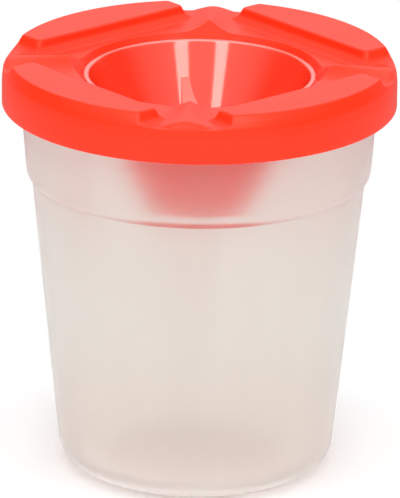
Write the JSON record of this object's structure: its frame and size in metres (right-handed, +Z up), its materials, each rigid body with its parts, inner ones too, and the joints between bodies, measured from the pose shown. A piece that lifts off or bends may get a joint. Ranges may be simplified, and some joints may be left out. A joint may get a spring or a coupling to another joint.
{
  "type": "paint cup with lid",
  "caption": "Tapered translucent paint cup with a press-on lid that has a funnel mouth, raised pads and brush rests around it.",
  "frame": {"origin": "centre of the cup's base, on the surface it stands on", "axes": "+Z up along the cup's axis, X and Y through the brush rests in the lid's four notches"},
  "size_m": [0.08, 0.08, 0.0862],
  "materials": {
    "cup_plastic": "frosted translucent moulded polypropylene",
    "lid_plastic": "satin red moulded polyethylene, polished inside the funnel"
  },
  "bodies": {
    "cup": {"cup": "cup_plastic"},
    "lid": {"lid": "lid_plastic"}
  },
  "joints": [
    {"name": "lid_lift", "type": "slide", "parent": "cup", "child": "lid", "axis": [0, 0, 1], "range_m": [0, 0.035]}
  ]
}
